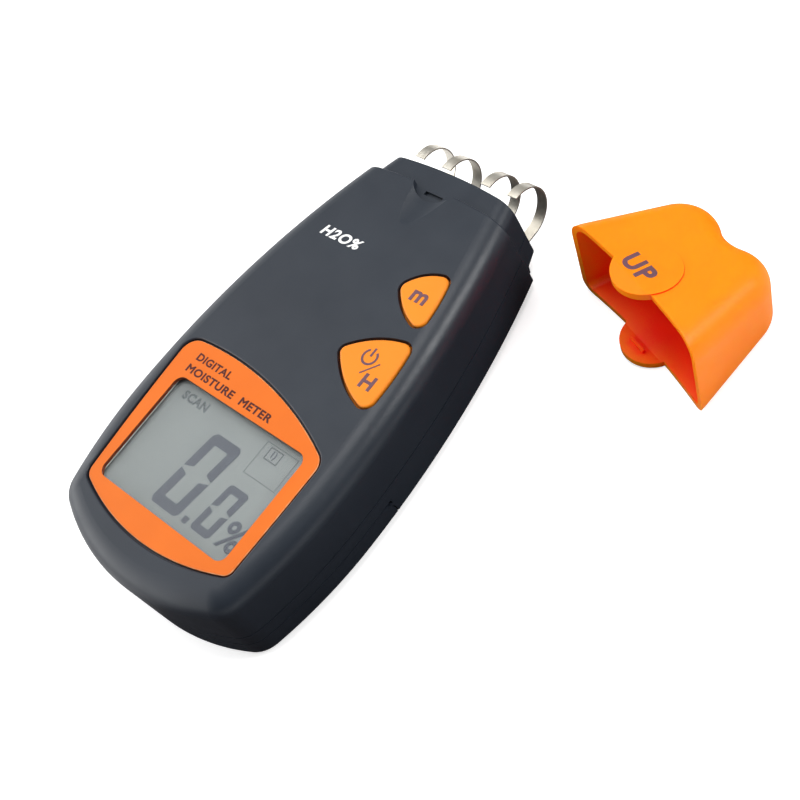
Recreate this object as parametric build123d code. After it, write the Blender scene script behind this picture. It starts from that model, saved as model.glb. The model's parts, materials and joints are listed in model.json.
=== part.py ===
from build123d import *
import math
import os

# Pin-type moisture meter with four sprung contact strips and its detached cap.
#
# The meter lies on its back. +X runs across the face to the right, +Y from the display
# end to the sensor head, and +Z out of the front face. The origin is on the back face,
# on the centre line, half way along the body. All sizes are in millimetres.


# Body
BODY_LENGTH = 130.0
BODY_WIDTH = 72.4
BODY_DEPTH = 27.6
WIDEST_Y = -22.0
SIDE_RADIUS_UPPER = 284.0
SIDE_RADIUS_LOWER = 129.0
TAIL_SAG = 8.6
CORNER_RADIUS = 8.0
FRONT_EDGE_RADIUS = 6.0
BACK_BEVEL = 2.2
SHOULDER_EDGE = 0.5
SLOPE_START_Y = -6.0
SLOPE_RADIUS = 1000.0
SHOULDER_Y = 58.8
SHOULDER_SAG = 1.5
SEAM_Z = 11.1
SEAM_GROOVE = (0.3, 0.3)
WALL = 2.0
FLOOR = 1.8

# Sensor head, the collar that the cap pushes onto
HEAD_INSET = 1.9
HEAD_EDGE_RADIUS = 4.2
HEAD_BACK_RADIUS = 2.6
HEAD_END_SAG = 1.6

# Display
WINDOW_Y = -31.9
WINDOW_SIZE = (48.5, 31.3)
WINDOW_RADIUS = 2.6
BEZEL_RECESS = 1.3
BEZEL_THICKNESS = 1.0
BEZEL_GAP = 0.45
BEZEL_RIM = 0.4
LENS_SIZE = (51.0, 34.0)
LENS_THICKNESS = 0.85
LCD_SIZE = (52.0, 35.0)
LCD_THICKNESS = 2.0

# Circuit board
BOARD_Z = 20.6
BOARD_THICKNESS = 1.2
BOARD_TOP = BOARD_Z + BOARD_THICKNESS
BOARD_START_Y = -60.5
BOARD_END_Y = 53.0

# Keys
KEY_GAP = 0.65
KEY_PROUD = 0.15
KEY_TRAVEL = 0.6
KEY_FLANGE = 0.8
KEY_FLANGE_REACH = 0.4
KEY_EDGE_RADIUS = 0.6
KEY_FLANGE_GAP = 0.4
WEB_THICKNESS = 0.4
PILL_RADIUS = 2.2
MODE_PILL = (22.0, 31.0)
POWER_PILL = (22.5, 10.0)

# Battery bay and door
DOOR_Y = -10.7
DOOR_HEIGHT = 7.0
DOOR_GAP = 0.25
DOOR_SIDE_GAP = 0.6
BAY_HALF_WIDTH = 13.6
BAY_START_Y = -61.0
BAY_END_Y = -6.5
BAY_CEILING = 19.8
BAY_WALL = 1.2
BATTERY_SIZE = (26.2, 46.4, 17.2)
BATTERY_Y = -60.0
BATTERY_Z = 2.1

# Screws
SCREW_SPOTS = [(-16.5, 48.0), (16.5, 48.0), (-23.0, -53.5), (23.0, -53.5)]
POST_RADIUS = 2.6
BOSS_RADIUS = 3.2
SCREW_RADIUS = 1.15
SCREW_HEAD_RADIUS = 2.3

# Contact strips
STRIP_X = [-15.8, -6.2, 7.6, 16.6]
STRIP_WIDTH = 3.1
STRIP_THICKNESS = 0.4
STRIP_LEG_Z = 4.7
STRIP_ROOT_Y = 52.7
STRIP_BEND_Y = 68.2
STRIP_LOOP_RADIUS = 7.45
STRIP_TIP_LENGTH = 0.6
STRIP_CLEARANCE = 0.12
STRIP_UNDERSIDE = STRIP_LEG_Z - STRIP_THICKNESS / 2
LEAD_Y = 51.9
LEAD_RADIUS = 0.5
HOLDER_HALF = 19.4
HOLDER_Y = (51.3, 56.4)
HOLDER_FOOT_X = 9.8
HOLDER_SCREW_X = 12.3
HOLDER_SCREW_Y = 53.2

# Cap, laid out as if pushed onto the head, then moved to where it lies
CAP_WALL = 1.6
CAP_MOUTH_HALF = 25.1
CAP_LENGTH = 28.3
CAP_SIDE_TAPER = 16.6
CAP_BACK_SLOPE = 8.6
CAP_FRONT_SLOPE = 8.7
CAP_LOBE_RADIUS = 10.0
CAP_DIP = 2.2
CAP_EDGE_RADIUS = 6.4
CAP_BACK_RADIUS = 3.5
CAP_DISC_RISE = 0.3
CAP_RUN_IN = 6.0
CAP_RELIEF_HALF = 17.8
CAP_YAW = 19.3
CAP_PLACE = (61.1, 54.7)
TAB_RADIUS = 8.5
TAB_REACH = 4.1
BACK_TAB_REACH = 5.4
MOUTH_GAP = 0.8
TAB_GAP = 0.25
SNAP_SLOT_Y = (56.7, 57.9)
SNAP_DEPTH = 0.9

TAIL_Y = -BODY_LENGTH / 2
HEAD_Y = BODY_LENGTH / 2


def half_width(y):
    """Half of the body's width at y: one large arc each way from its widest point."""
    radius = SIDE_RADIUS_UPPER if y > WIDEST_Y else SIDE_RADIUS_LOWER
    reach = y - WIDEST_Y
    return BODY_WIDTH / 2 - (radius - math.sqrt(radius**2 - reach**2))


def front_z(y):
    """Height of the front face: flat over the display, then falling to the head."""
    reach = max(0.0, y - SLOPE_START_Y)
    return BODY_DEPTH - (SLOPE_RADIUS - math.sqrt(SLOPE_RADIUS**2 - reach**2))


def side_arc(y_from, y_to, side):
    """Arc of one side of the body between two heights on the plan."""
    points = [(side * half_width(y), y) for y in (y_from, (y_from + y_to) / 2, y_to)]
    return ThreePointArc(*points)


def body_plan(end_y, end_sag):
    """Plan outline from the tail to an end line that bulges by end_sag."""
    corner_y = TAIL_Y + TAIL_SAG
    end_side_y = end_y - end_sag
    end_half = half_width(end_side_y)
    edges = [
        side_arc(end_side_y, WIDEST_Y, 1),
        side_arc(WIDEST_Y, corner_y, 1),
        ThreePointArc((half_width(corner_y), corner_y), (0, TAIL_Y), (-half_width(corner_y), corner_y)),
        side_arc(corner_y, WIDEST_Y, -1),
        side_arc(WIDEST_Y, end_side_y, -1),
        ThreePointArc((-end_half, end_side_y), (0, end_y), (end_half, end_side_y)),
    ]
    plan = make_face(edges)
    corners = plan.vertices().filter_by(lambda v: abs(v.Y - corner_y) < 0.01)
    return fillet(corners, CORNER_RADIUS)


def inset(plan, distance):
    return offset(plan, -distance, kind=Kind.INTERSECTION)


def slab(plan, z_from, z_to):
    return extrude(Pos(0, 0, z_from) * plan, z_to - z_from, dir=(0, 0, 1))


def under_front(drop, z_from):
    """Prism that fills the space under the front face lowered by drop."""
    start, end = TAIL_Y - 10, HEAD_Y + 15
    middle = (SLOPE_START_Y + end) / 2
    profile = [
        Line((start, z_from), (start, BODY_DEPTH - drop)),
        Line((start, BODY_DEPTH - drop), (SLOPE_START_Y, BODY_DEPTH - drop)),
        ThreePointArc(
            (SLOPE_START_Y, BODY_DEPTH - drop),
            (middle, front_z(middle) - drop),
            (end, front_z(end) - drop),
        ),
        Line((end, front_z(end) - drop), (end, z_from)),
        Line((end, z_from), (start, z_from)),
    ]
    return extrude(Plane.YZ * make_face(profile), BODY_WIDTH, both=True)


def top_rim(solid, y_limit, drop):
    """Edges where the lowered front face meets the sides, up to y_limit."""
    def on_rim(edge):
        middle = edge.position_at(0.5)
        on_top = abs(middle.Z - (front_z(middle.Y) - drop)) < 0.05
        return on_top and middle.Y < y_limit and not is_across(edge)
    return solid.edges().filter_by(on_rim)


def is_across(edge):
    """True for the straight joint line across the front face."""
    ends = [edge.position_at(0), edge.position_at(1)]
    return abs(ends[0].Y - ends[1].Y) < 0.01 and abs(ends[0].Y - SLOPE_START_Y) < 0.5


BODY_PLAN = body_plan(SHOULDER_Y, SHOULDER_SAG)
HEAD_PLAN = inset(body_plan(HEAD_Y + HEAD_INSET, HEAD_END_SAG), HEAD_INSET)


def rounded_body(plan_inset, drop, floor, radius):
    solid = slab(inset(BODY_PLAN, plan_inset) if plan_inset else BODY_PLAN, floor, BODY_DEPTH + 5)
    solid = solid & under_front(drop, floor)
    limit = SHOULDER_Y - SHOULDER_SAG - plan_inset - 0.5
    return fillet(top_rim(solid, limit, drop), radius)


def rounded_head(plan_inset, drop, floor, radius):
    plan = inset(HEAD_PLAN, plan_inset) if plan_inset else HEAD_PLAN
    solid = slab(plan, floor, BODY_DEPTH + 5) & under_front(drop, floor)
    solid = solid & Pos(0, HEAD_Y, 0) * Box(BODY_WIDTH, 40, 80)
    return fillet(top_rim(solid, HEAD_Y - HEAD_END_SAG - plan_inset - 0.5, drop), radius)


def box(x, y, z):
    """Box between the low and high corners given for each axis."""
    centre = [(low + high) / 2 for low, high in (x, y, z)]
    return Pos(*centre) * Box(x[1] - x[0], y[1] - y[0], z[1] - z[0])


def disc(x, y, z_from, z_to, radius):
    return Pos(x, y, (z_from + z_to) / 2) * Cylinder(radius, z_to - z_from)


def rounded_box(x, y, z, radius):
    """Box with its four upright edges rounded."""
    plan = Pos((x[0] + x[1]) / 2, (y[0] + y[1]) / 2) * RectangleRounded(x[1] - x[0], y[1] - y[0], radius)
    return slab(plan, z[0], z[1])


def bulged_outline(corners, bulges, radii, grow=0.0):
    """Outline whose sides are arcs that bulge outwards: where one large disc a side overlap."""
    centre = sum((Vector(*c) for c in corners), Vector()) / len(corners)
    plan = None
    for i, bulge in enumerate(bulges):
        a, b = Vector(*corners[i]), Vector(*corners[(i + 1) % len(corners)])
        half_chord = (b - a).length / 2
        radius = (half_chord**2 + bulge**2) / (2 * bulge)
        side = (b - a).normalized()
        outward = Vector(-side.Y, side.X)
        if outward.dot((a + b) / 2 - centre) < 0:
            outward = outward * -1
        middle = (a + b) / 2 - outward * (radius - bulge)
        large = Pos(middle.X, middle.Y) * Circle(radius + grow)
        plan = large if plan is None else plan & large
    for corner, radius in zip(corners, radii):
        spot = plan.vertices().sort_by_distance(Vector(*corner))[0]
        plan = fillet(spot, radius + grow)
    return plan


def mode_key_plan(grow=0.0):
    corners = [(12.9, 31.15), (23.5, 38.4), (26.5, 23.1)]
    return bulged_outline(corners, [1.9, 0.6, 1.5], [2.2, 2.4, 2.2], grow)


def power_key_plan(grow=0.0):
    corners = [(11.0, 10.1), (27.9, 19.2), (29.5, -0.3)]
    return bulged_outline(corners, [2.0, 0.6, 1.9], [1.8, 2.4, 2.6], grow)


def bezel_plan(grow=0.0):
    """Shield outline: its top arc is highest on the left, its bottom arc is even."""
    corners = [(-29.8, -6.6), (28.6, -15.4), (28.1, -48.6), (-27.0, -49.3)]
    return bulged_outline(corners, [4.5, 0.15, 5.6, 0.4], [4.6, 4.2, 2.6, 3.2], grow)


WINDOW_PLAN = Pos(0, WINDOW_Y) * RectangleRounded(*WINDOW_SIZE, WINDOW_RADIUS)
LENS_PLAN = Pos(0, WINDOW_Y) * RectangleRounded(*LENS_SIZE, WINDOW_RADIUS + 1)
BEZEL_SEAT_Z = BODY_DEPTH - BEZEL_RECESS
LCD_TOP = BEZEL_SEAT_Z - LENS_THICKNESS - 0.35


def is_round_bezel(point):
    """True on the outline of the display recess."""
    grown, shrunk = bezel_plan(BEZEL_GAP + 0.05), bezel_plan(BEZEL_GAP - 0.05)
    spot = Vector(point.X, point.Y, 0)
    return grown.is_inside(spot) and not shrunk.is_inside(spot)


def outer_solid():
    body = rounded_body(0, 0, 0, FRONT_EDGE_RADIUS)
    shoulder_start = SHOULDER_Y - SHOULDER_SAG - 0.5
    back_rim = body.edges().filter_by(
        lambda e: abs(e.position_at(0.5).Z) < 0.01 and e.position_at(0.5).Y < shoulder_start
    )
    body = chamfer(back_rim, BACK_BEVEL)
    shoulder = body.edges().filter_by(
        lambda e: min(e.position_at(t).Y for t in (0, 0.5, 1)) > shoulder_start
    )
    body = fillet(shoulder, SHOULDER_EDGE)
    head = rounded_head(0, HEAD_INSET, HEAD_INSET, HEAD_EDGE_RADIUS)
    # The head's back slopes up a little, to clear the cap's sloping back wall
    rise = (HEAD_Y + 1 - SHOULDER_Y) * math.tan(math.radians(CAP_BACK_SLOPE))
    low = CAP_WALL + 0.25
    corners = [(SHOULDER_Y, -1), (HEAD_Y + 1, -1), (HEAD_Y + 1, low + rise), (SHOULDER_Y, low)]
    head -= extrude(Plane.YZ * make_face(Polyline(*corners, close=True)), BODY_WIDTH, both=True)
    back_rim = head.edges().filter_by(
        lambda e: e.position_at(0.5).Z < low + rise + 0.5 and abs(e.tangent_at(0.5).Z) < 0.5
        and e.position_at(0.5).Y > SHOULDER_Y
    )
    head = fillet(back_rim, HEAD_BACK_RADIUS)
    return body + head


def cavity_solid():
    """Space inside both shells."""
    body = rounded_body(WALL, WALL, FLOOR, FRONT_EDGE_RADIUS - WALL)
    head = rounded_head(WALL, HEAD_INSET + WALL, HEAD_INSET + FLOOR, HEAD_EDGE_RADIUS - WALL)
    return body + head


def above(solid, z):
    return solid & box((-60, 60), (-90, 90), (z, z + 60))


def below(solid, z):
    return solid & box((-60, 60), (-90, 90), (z - 60, z))


def joint_ring(outset, inner, z_from, z_to):
    """Ring that follows both shells between two insets from the outside."""
    plan = BODY_PLAN + HEAD_PLAN
    return slab(inset(plan, outset) - inset(plan, inner), z_from, z_to)


def seam_groove():
    """Shallow groove that shows the joint between both shells."""
    plan = Rectangle(200, 200) - inset(BODY_PLAN + HEAD_PLAN, SEAM_GROOVE[1])
    return slab(plan, SEAM_Z - SEAM_GROOVE[0] / 2, SEAM_Z + SEAM_GROOVE[0] / 2)


def tab_plan(reach, gap=0.0):
    """Half-moon that one of the cap's tabs fills, from the shoulder line towards the display."""
    return Pos(0, SHOULDER_Y - reach + TAB_RADIUS) * Circle(TAB_RADIUS - gap)


def thumb_scoop():
    """Shallow hollow that runs down from the tab's half-moon: a tilted cylinder's edge."""
    radius, tilt, tip_y = 20.0, 8.0, 46.0
    shape = Cylinder(radius, 60, align=(Align.CENTER, Align.CENTER, Align.CENTER))
    lying = Rot(-90 - tilt, 0, 0) * shape
    return Pos(0, tip_y, front_z(tip_y) + radius / math.cos(math.radians(tilt))) * lying


def make_front_shell():
    shell = above(OUTER, SEAM_Z) - above(CAVITY, SEAM_Z - 1)
    pad = box((-11, 11), (45.0, 57.0), (BOARD_TOP + 0.2, 30)) & CAVITY
    shell = shell + pad
    # Display recess, and the opening that the lens drops into
    shell -= slab(bezel_plan(BEZEL_GAP), BEZEL_SEAT_Z, BODY_DEPTH + 5)
    rim = shell.edges().filter_by(
        lambda e: abs(e.position_at(0.5).Z - BODY_DEPTH) < 0.01 and is_round_bezel(e.position_at(0.5))
    )
    shell = fillet(rim, BEZEL_RIM)
    shell -= slab(inset(LENS_PLAN, -0.2), BEZEL_SEAT_Z - 5, BODY_DEPTH)
    # Key openings
    for plan in (mode_key_plan(KEY_GAP), power_key_plan(KEY_GAP)):
        shell -= slab(plan, BOARD_TOP, BODY_DEPTH + 5)
    # Half-moon, snap slot and thumb scoop for the cap's tab
    notch = slab(tab_plan(TAB_REACH), 20, 40) - under_front(HEAD_INSET, 0)
    shell -= notch & box((-20, 20), (40, SHOULDER_Y + 0.2), (0, 60))
    shell -= thumb_scoop() & box((-20, 20), (40, SHOULDER_Y + 0.2), (0, 60))
    shell -= box((-3.0, 3.0), SNAP_SLOT_Y, (front_z(57) - HEAD_INSET - SNAP_DEPTH, 40))
    # Screw posts
    for x, y in SCREW_SPOTS:
        post = disc(x, y, SEAM_Z + 0.4, BODY_DEPTH, POST_RADIUS) & (CAVITY + OUTER)
        shell += post & under_front(WALL - 0.5, 0)
        shell -= disc(x, y, SEAM_Z, SEAM_Z + 8.5, SCREW_RADIUS)
    # Rebate that the back shell's lip fits into
    shell -= slab(inset(BODY_PLAN + HEAD_PLAN, 1.0), SEAM_Z - 0.1, SEAM_Z + 1.5) - posts_keepout()
    return shell - seam_groove()


def posts_keepout():
    """Screw posts, which the lip rebate leaves alone."""
    spots = [disc(x, y, SEAM_Z + 0.4, SEAM_Z + 3, POST_RADIUS) for x, y in SCREW_SPOTS]
    return Compound(children=spots)


def door_envelope():
    """Region of the body that the battery door makes up."""
    region = box((-60, 60), (-90, DOOR_Y), (-1, DOOR_HEIGHT))
    corners = region.edges().filter_by(Axis.X).group_by(Axis.Z)[-1].sort_by(Axis.Y)[-1]
    return fillet(corners, 3.5)


def make_back_shell():
    shell = below(OUTER, SEAM_Z) - below(CAVITY, SEAM_Z + 1)
    # Clear the door's place, then put back the tub that the door slides round
    shell -= door_envelope()
    tub_outer = slab(inset(BODY_PLAN, WALL + DOOR_SIDE_GAP), FLOOR + 0.3, DOOR_HEIGHT + DOOR_GAP + 1.6)
    tub_inner = slab(inset(BODY_PLAN, WALL + DOOR_SIDE_GAP + 1.5), FLOOR + 1.7, 30)
    tub = (tub_outer - tub_inner) & box((-60, 60), (-90, DOOR_Y + 1.5), (0, 30))
    ledge = slab(inset(BODY_PLAN, 1.0), DOOR_HEIGHT + DOOR_GAP, DOOR_HEIGHT + DOOR_GAP + 1.6)
    ledge -= slab(inset(BODY_PLAN, WALL + DOOR_SIDE_GAP + 1.5), 0, 30)
    ledge = ledge & box((-60, 60), (-90, DOOR_Y + 1.5), (0, 30))
    shell -= box((-60, 60), (-90, DOOR_Y), (DOOR_HEIGHT - 1, DOOR_HEIGHT + DOOR_GAP))
    step = box((-34, 34), (DOOR_Y + 0.2, DOOR_Y + 1.5), (0.2, 9)) & below(OUTER, SEAM_Z)
    shell = shell + step + tub + ledge
    # Battery bay: side walls and ceiling, open to the door and at the wire end
    outer_half = BAY_HALF_WIDTH + BAY_WALL
    bay = box((-outer_half, outer_half), (BAY_START_Y - 2, BAY_END_Y), (FLOOR + 0.3, BAY_CEILING + 0.8))
    shell += bay & slab(inset(BODY_PLAN, WALL + DOOR_SIDE_GAP), 0, BODY_DEPTH)
    hollow = box((-BAY_HALF_WIDTH, BAY_HALF_WIDTH), (BAY_START_Y, BAY_END_Y + 5), (FLOOR, BAY_CEILING))
    shell -= hollow
    shell -= box((-BAY_HALF_WIDTH, BAY_HALF_WIDTH), (BAY_START_Y, DOOR_Y + 0.2), (-1, FLOOR + 1))
    # Pocket for the door's hooks
    for side in (-1, 1):
        x = sorted((side * 18.0, side * 26.0))
        shell -= box(x, (DOOR_Y - 1, DOOR_Y + 3.2), (0.9, FLOOR + 0.1))
        shell -= box(x, (DOOR_Y - 1, DOOR_Y + 0.5), (-1, FLOOR + 0.3))
    # Screw bosses with head pockets
    for x, y in SCREW_SPOTS:
        shell += disc(x, y, FLOOR, SEAM_Z, BOSS_RADIUS)
        pocket_floor = 6.0
        shell -= disc(x, y, -1, pocket_floor, SCREW_HEAD_RADIUS + 0.25)
        shell -= disc(x, y, 0, SEAM_Z + 1, SCREW_RADIUS + 0.35)
    # Lip round the joint
    shell += joint_ring(1.2, WALL, SEAM_Z - 2.0, SEAM_Z + 1.2) - boss_keepout()
    # Slots that the contact strips come out of
    for x in STRIP_X:
        half = STRIP_WIDTH / 2 + 0.35
        shell -= box((x - half, x + half), (60, HEAD_Y + 2), (STRIP_LEG_Z - 0.6, STRIP_LEG_Z + 1.3))
    # Half-moon and snap slot for the cap's back tab
    tab_cut = slab(tab_plan(BACK_TAB_REACH), -1, HEAD_INSET) & box((-20, 20), (40, SHOULDER_Y + 0.2), (-5, 5))
    pad = box((-9.6, 9.6), (51.3, 57.0), (1, HEAD_INSET + FLOOR)) & CAVITY
    shell = shell + pad - tab_cut
    shell -= box((-3.0, 3.0), SNAP_SLOT_Y, (0, HEAD_INSET + SNAP_DEPTH))
    # Pilot holes for the strip holder's screws
    for side in (-1, 1):
        shell -= disc(side * HOLDER_SCREW_X, HOLDER_SCREW_Y, 0.6, FLOOR + 1, 0.8)
    return shell - seam_groove()


def boss_keepout():
    return Compound(children=[disc(x, y, 0, 30, POST_RADIUS + 0.4) for x, y in SCREW_SPOTS])


def make_battery_door():
    region = box((-60, 60), (-90, DOOR_Y - DOOR_GAP), (-1, DOOR_HEIGHT))
    corner = region.edges().filter_by(Axis.X).group_by(Axis.Z)[-1].sort_by(Axis.Y)[-1]
    region = fillet(corner, 3.5)
    door = OUTER & region
    door -= slab(inset(BODY_PLAN, WALL), FLOOR, 30)
    # Hooks that slip under the back shell
    for side in (-1, 1):
        x = sorted((side * 18.5, side * 25.5))
        door += box(x, (DOOR_Y - 4, DOOR_Y + 2.6), (1.0, FLOOR))
        door += box(x, (DOOR_Y - 4, DOOR_Y - DOOR_GAP), (0.2, FLOOR))
    # Finger grip: five grooves across the back
    for i in range(5):
        y = -46.0 - 2.2 * i
        half = 9.0 - 0.9 * i
        door -= box((-half, half), (y - 0.5, y + 0.5), (-1, 0.5))
    # Arrow that shows which way it slides
    arrow = make_face(Polyline((-4, -38), (4, -38), (0, -42.5), (-4, -38)))
    door -= slab(arrow, -1, 0.4)
    return door


def make_display_bezel():
    plate = slab(bezel_plan(), BEZEL_SEAT_Z, BEZEL_SEAT_Z + BEZEL_THICKNESS)
    top = plate.edges().group_by(Axis.Z)[-1]
    plate = fillet(top, 0.35)
    return plate - slab(WINDOW_PLAN, 0, 60)


def make_display_window():
    return slab(LENS_PLAN, BEZEL_SEAT_Z - LENS_THICKNESS, BEZEL_SEAT_Z)


def make_lcd_frame():
    half_x, half_y = LCD_SIZE[0] / 2, LCD_SIZE[1] / 2
    wall, cover = 1.1, 0.2
    x = (-half_x - wall, half_x + wall)
    y = (WINDOW_Y - half_y - wall, WINDOW_Y + half_y + wall)
    frame = rounded_box(x, y, (BOARD_TOP, LCD_TOP + cover), 1.5)
    pocket = (half_x + 0.1, half_y + 0.1)
    inner_y = (WINDOW_Y - pocket[1], WINDOW_Y + pocket[1])
    frame -= box((-pocket[0], pocket[0]), inner_y, (BOARD_TOP - 1, LCD_TOP + 0.05))
    open_x, open_y = WINDOW_SIZE[0] / 2 + 0.6, WINDOW_SIZE[1] / 2 + 0.6
    frame -= box((-open_x, open_x), (WINDOW_Y - open_y, WINDOW_Y + open_y), (0, 60))
    return frame


def make_lcd_panel():
    """Two glass plates: the upper one stops short so that the lower one's edge shows."""
    half_x, half_y = LCD_SIZE[0] / 2, LCD_SIZE[1] / 2
    middle = LCD_TOP - LCD_THICKNESS / 2
    lower = box((-half_x, half_x), (WINDOW_Y - half_y, WINDOW_Y + half_y), (LCD_TOP - LCD_THICKNESS, middle))
    upper = box((-half_x, half_x), (WINDOW_Y - half_y, WINDOW_Y + half_y - 1.5), (middle, LCD_TOP))
    return lower + upper


def make_zebra_strips():
    strips = []
    for side in (-1, 1):
        y = WINDOW_Y + side * (LCD_SIZE[1] / 2 - 1.6)
        strips.append(box((-24, 24), (y - 1.1, y + 1.1), (BOARD_TOP, LCD_TOP - LCD_THICKNESS)))
    return Compound(children=strips)


def board_plan():
    plan = inset(BODY_PLAN, WALL + 1.7)
    length = BOARD_END_Y - BOARD_START_Y
    plan = plan & Pos(0, BOARD_START_Y + length / 2) * Rectangle(90, length)
    for x, y in SCREW_SPOTS:
        plan -= Pos(x, y) * Circle(POST_RADIUS + 0.5)
    return plan


def make_main_board():
    return slab(board_plan(), BOARD_Z, BOARD_TOP)


def make_controller_chip():
    body = box((-5, 5), (20, 30), (BOARD_Z - 1.5, BOARD_Z - 0.1))
    pins = []
    for i in range(8):
        offset_mm = -3.85 + 1.1 * i
        for side in (-1, 1):
            x = sorted((side * 4.9, side * 6.2))
            pins.append(box(x, (25 + offset_mm - 0.2, 25 + offset_mm + 0.2), (BOARD_Z - 0.5, BOARD_Z)))
            y = sorted((25 + side * 4.9, 25 + side * 6.2))
            pins.append(box((offset_mm - 0.2, offset_mm + 0.2), y, (BOARD_Z - 0.5, BOARD_Z)))
    chip = body
    for pin in pins:
        chip += pin
    return chip


def make_amplifier_chip():
    chip = box((-2, 2), (38, 43), (BOARD_Z - 1.6, BOARD_Z - 0.1))
    for i in range(4):
        y = 38.6 + 1.27 * i
        for side in (-1, 1):
            x = sorted((side * 1.9, side * 3.0))
            chip += box(x, (y - 0.2, y + 0.2), (BOARD_Z - 0.5, BOARD_Z))
    return chip


def make_board_parts():
    """Loose parts under the board: capacitors, trimmer, crystal and resistors."""
    parts = [disc(-14, 12, BOARD_Z - 7.0, BOARD_Z, 2.5), disc(-20, 16, BOARD_Z - 5.4, BOARD_Z, 2.0)]
    parts.append(box((10, 16.5), (33, 39.5), (BOARD_Z - 4.0, BOARD_Z)))
    crystal = rounded_box((9, 20), (24, 28.4), (BOARD_Z - 3.5, BOARD_Z), 2.1)
    parts.append(crystal)
    for i in range(4):
        y = 20.0 + 3.0 * i
        parts.append(box((-16, -12.8), (y, y + 1.6), (BOARD_Z - 0.7, BOARD_Z)))
    for i in range(4):
        x = -12.0 + 6.6 * i
        parts.append(box((x, x + 1.6), (45, 47.2), (BOARD_Z - 0.7, BOARD_Z)))
    return Compound(children=parts)


def make_keypad_web():
    """Silicone sheet on the board with a hole round each key's contact pill."""
    web = rounded_box((8.0, 26.5), (-1.0, 38.0), (BOARD_TOP, BOARD_TOP + WEB_THICKNESS), 3.0)
    for x, y in (MODE_PILL, POWER_PILL):
        web -= disc(x, y, 0, 60, PILL_RADIUS + 1.4)
    return web


def make_key(plan_of):
    """Key that stands proud of the face, with a flange that keeps it in the shell."""
    flange_top = front_z(plan_of().bounding_box().max.Y) - WALL - KEY_FLANGE_GAP
    bottom = flange_top - KEY_FLANGE
    key = slab(plan_of(), bottom, BODY_DEPTH + 5) & under_front(-KEY_PROUD, bottom)
    key = fillet(key.edges().filter_by(lambda e: e.position_at(0.5).Z > BODY_DEPTH - 2), KEY_EDGE_RADIUS)
    flange = slab(plan_of(KEY_GAP + KEY_FLANGE_REACH), bottom, flange_top)
    room = rounded_body(WALL + KEY_GAP, WALL + KEY_GAP, FLOOR, FRONT_EDGE_RADIUS - WALL)
    return key + (flange & room)


def make_pill(key, pill_spot):
    """Carbon pill under a key, with room left for the key's travel."""
    x, y = pill_spot
    return disc(x, y, BOARD_TOP + KEY_TRAVEL + 0.05, key.bounding_box().min.Z, PILL_RADIUS)


def make_sensor_strip(x):
    """Flat spring strip: straight out of the head, then curled back over."""
    inner = STRIP_LOOP_RADIUS - STRIP_THICKNESS / 2
    outer = STRIP_LOOP_RADIUS + STRIP_THICKNESS / 2
    centre_z = STRIP_LEG_Z + STRIP_LOOP_RADIUS
    ring = Pos(STRIP_BEND_Y, centre_z) * (Circle(outer) - Circle(inner))
    ring = ring & Pos(STRIP_BEND_Y + 20, centre_z) * Rectangle(40, 40)
    leg_length = STRIP_BEND_Y - STRIP_ROOT_Y
    leg = Pos(STRIP_ROOT_Y + leg_length / 2, STRIP_LEG_Z) * Rectangle(leg_length, STRIP_THICKNESS)
    tip_y = STRIP_BEND_Y - STRIP_TIP_LENGTH / 2
    tip = Pos(tip_y, centre_z + STRIP_LOOP_RADIUS) * Rectangle(STRIP_TIP_LENGTH, STRIP_THICKNESS)
    solid = extrude(Plane.YZ * (ring + leg + tip), STRIP_WIDTH / 2, both=True)
    return Pos(x, 0, 0) * solid


def make_strip_holder():
    """Insulating bar under the strips' inner ends, on two feet, with a rib in the middle."""
    top = STRIP_UNDERSIDE - STRIP_CLEARANCE
    holder = box((-HOLDER_HALF, HOLDER_HALF), HOLDER_Y, (HEAD_INSET + FLOOR, top))
    for side in (-1, 1):
        x = sorted((side * HOLDER_FOOT_X, side * HOLDER_HALF))
        holder += box(x, (HOLDER_Y[0], HOLDER_Y[1] - 1.6), (FLOOR, top))
        x = sorted((side * (HOLDER_HALF - 0.7), side * HOLDER_HALF))
        holder += box(x, HOLDER_Y, (top - 0.1, top + 2.2))
        holder -= disc(side * HOLDER_SCREW_X, HOLDER_SCREW_Y, 0, 20, 0.8)
    return holder + box((-2.0, 2.0), HOLDER_Y, (top - 0.1, top + 2.2))


def make_holder_screws():
    top = STRIP_UNDERSIDE - STRIP_CLEARANCE
    screws = []
    for side in (-1, 1):
        x = side * HOLDER_SCREW_X
        y = HOLDER_SCREW_Y
        screw = disc(x, y, top, top + 1.1, 1.7) + disc(x, y, 0.7, top, 0.75)
        screws.append(screw - box((x - 2, x + 2), (y - 0.2, y + 0.2), (top + 0.6, top + 2)))
    return Compound(children=screws)


def tube(points, radius, bend):
    path = FilletPolyline(*points, radius=bend)
    start = Plane(origin=path @ 0, z_dir=path % 0)
    return sweep(start * Circle(radius), path=path)


def make_sensor_leads():
    """Wire from behind each strip's inner end straight up to the board."""
    start_z = STRIP_UNDERSIDE - STRIP_CLEARANCE
    wires = [disc(x, LEAD_Y, start_z, BOARD_Z, LEAD_RADIUS) for x in STRIP_X]
    return Compound(children=wires)


def make_battery():
    width, length, depth = BATTERY_SIZE
    body = box((-width / 2, width / 2), (BATTERY_Y, BATTERY_Y + length), (BATTERY_Z, BATTERY_Z + depth))
    body = fillet(body.edges().filter_by(Axis.Y), 2.0)
    y = BATTERY_Y + length
    z = BATTERY_Z + depth / 2
    small = Pos(-6.35, y + 1.4, z) * Rot(90, 0, 0) * Cylinder(2.85, 2.8)
    large = Pos(6.35, y + 1.4, z) * Rot(90, 0, 0) * (Cylinder(4.3, 2.8) - Cylinder(3.1, 3.0))
    return body + small + large


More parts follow.
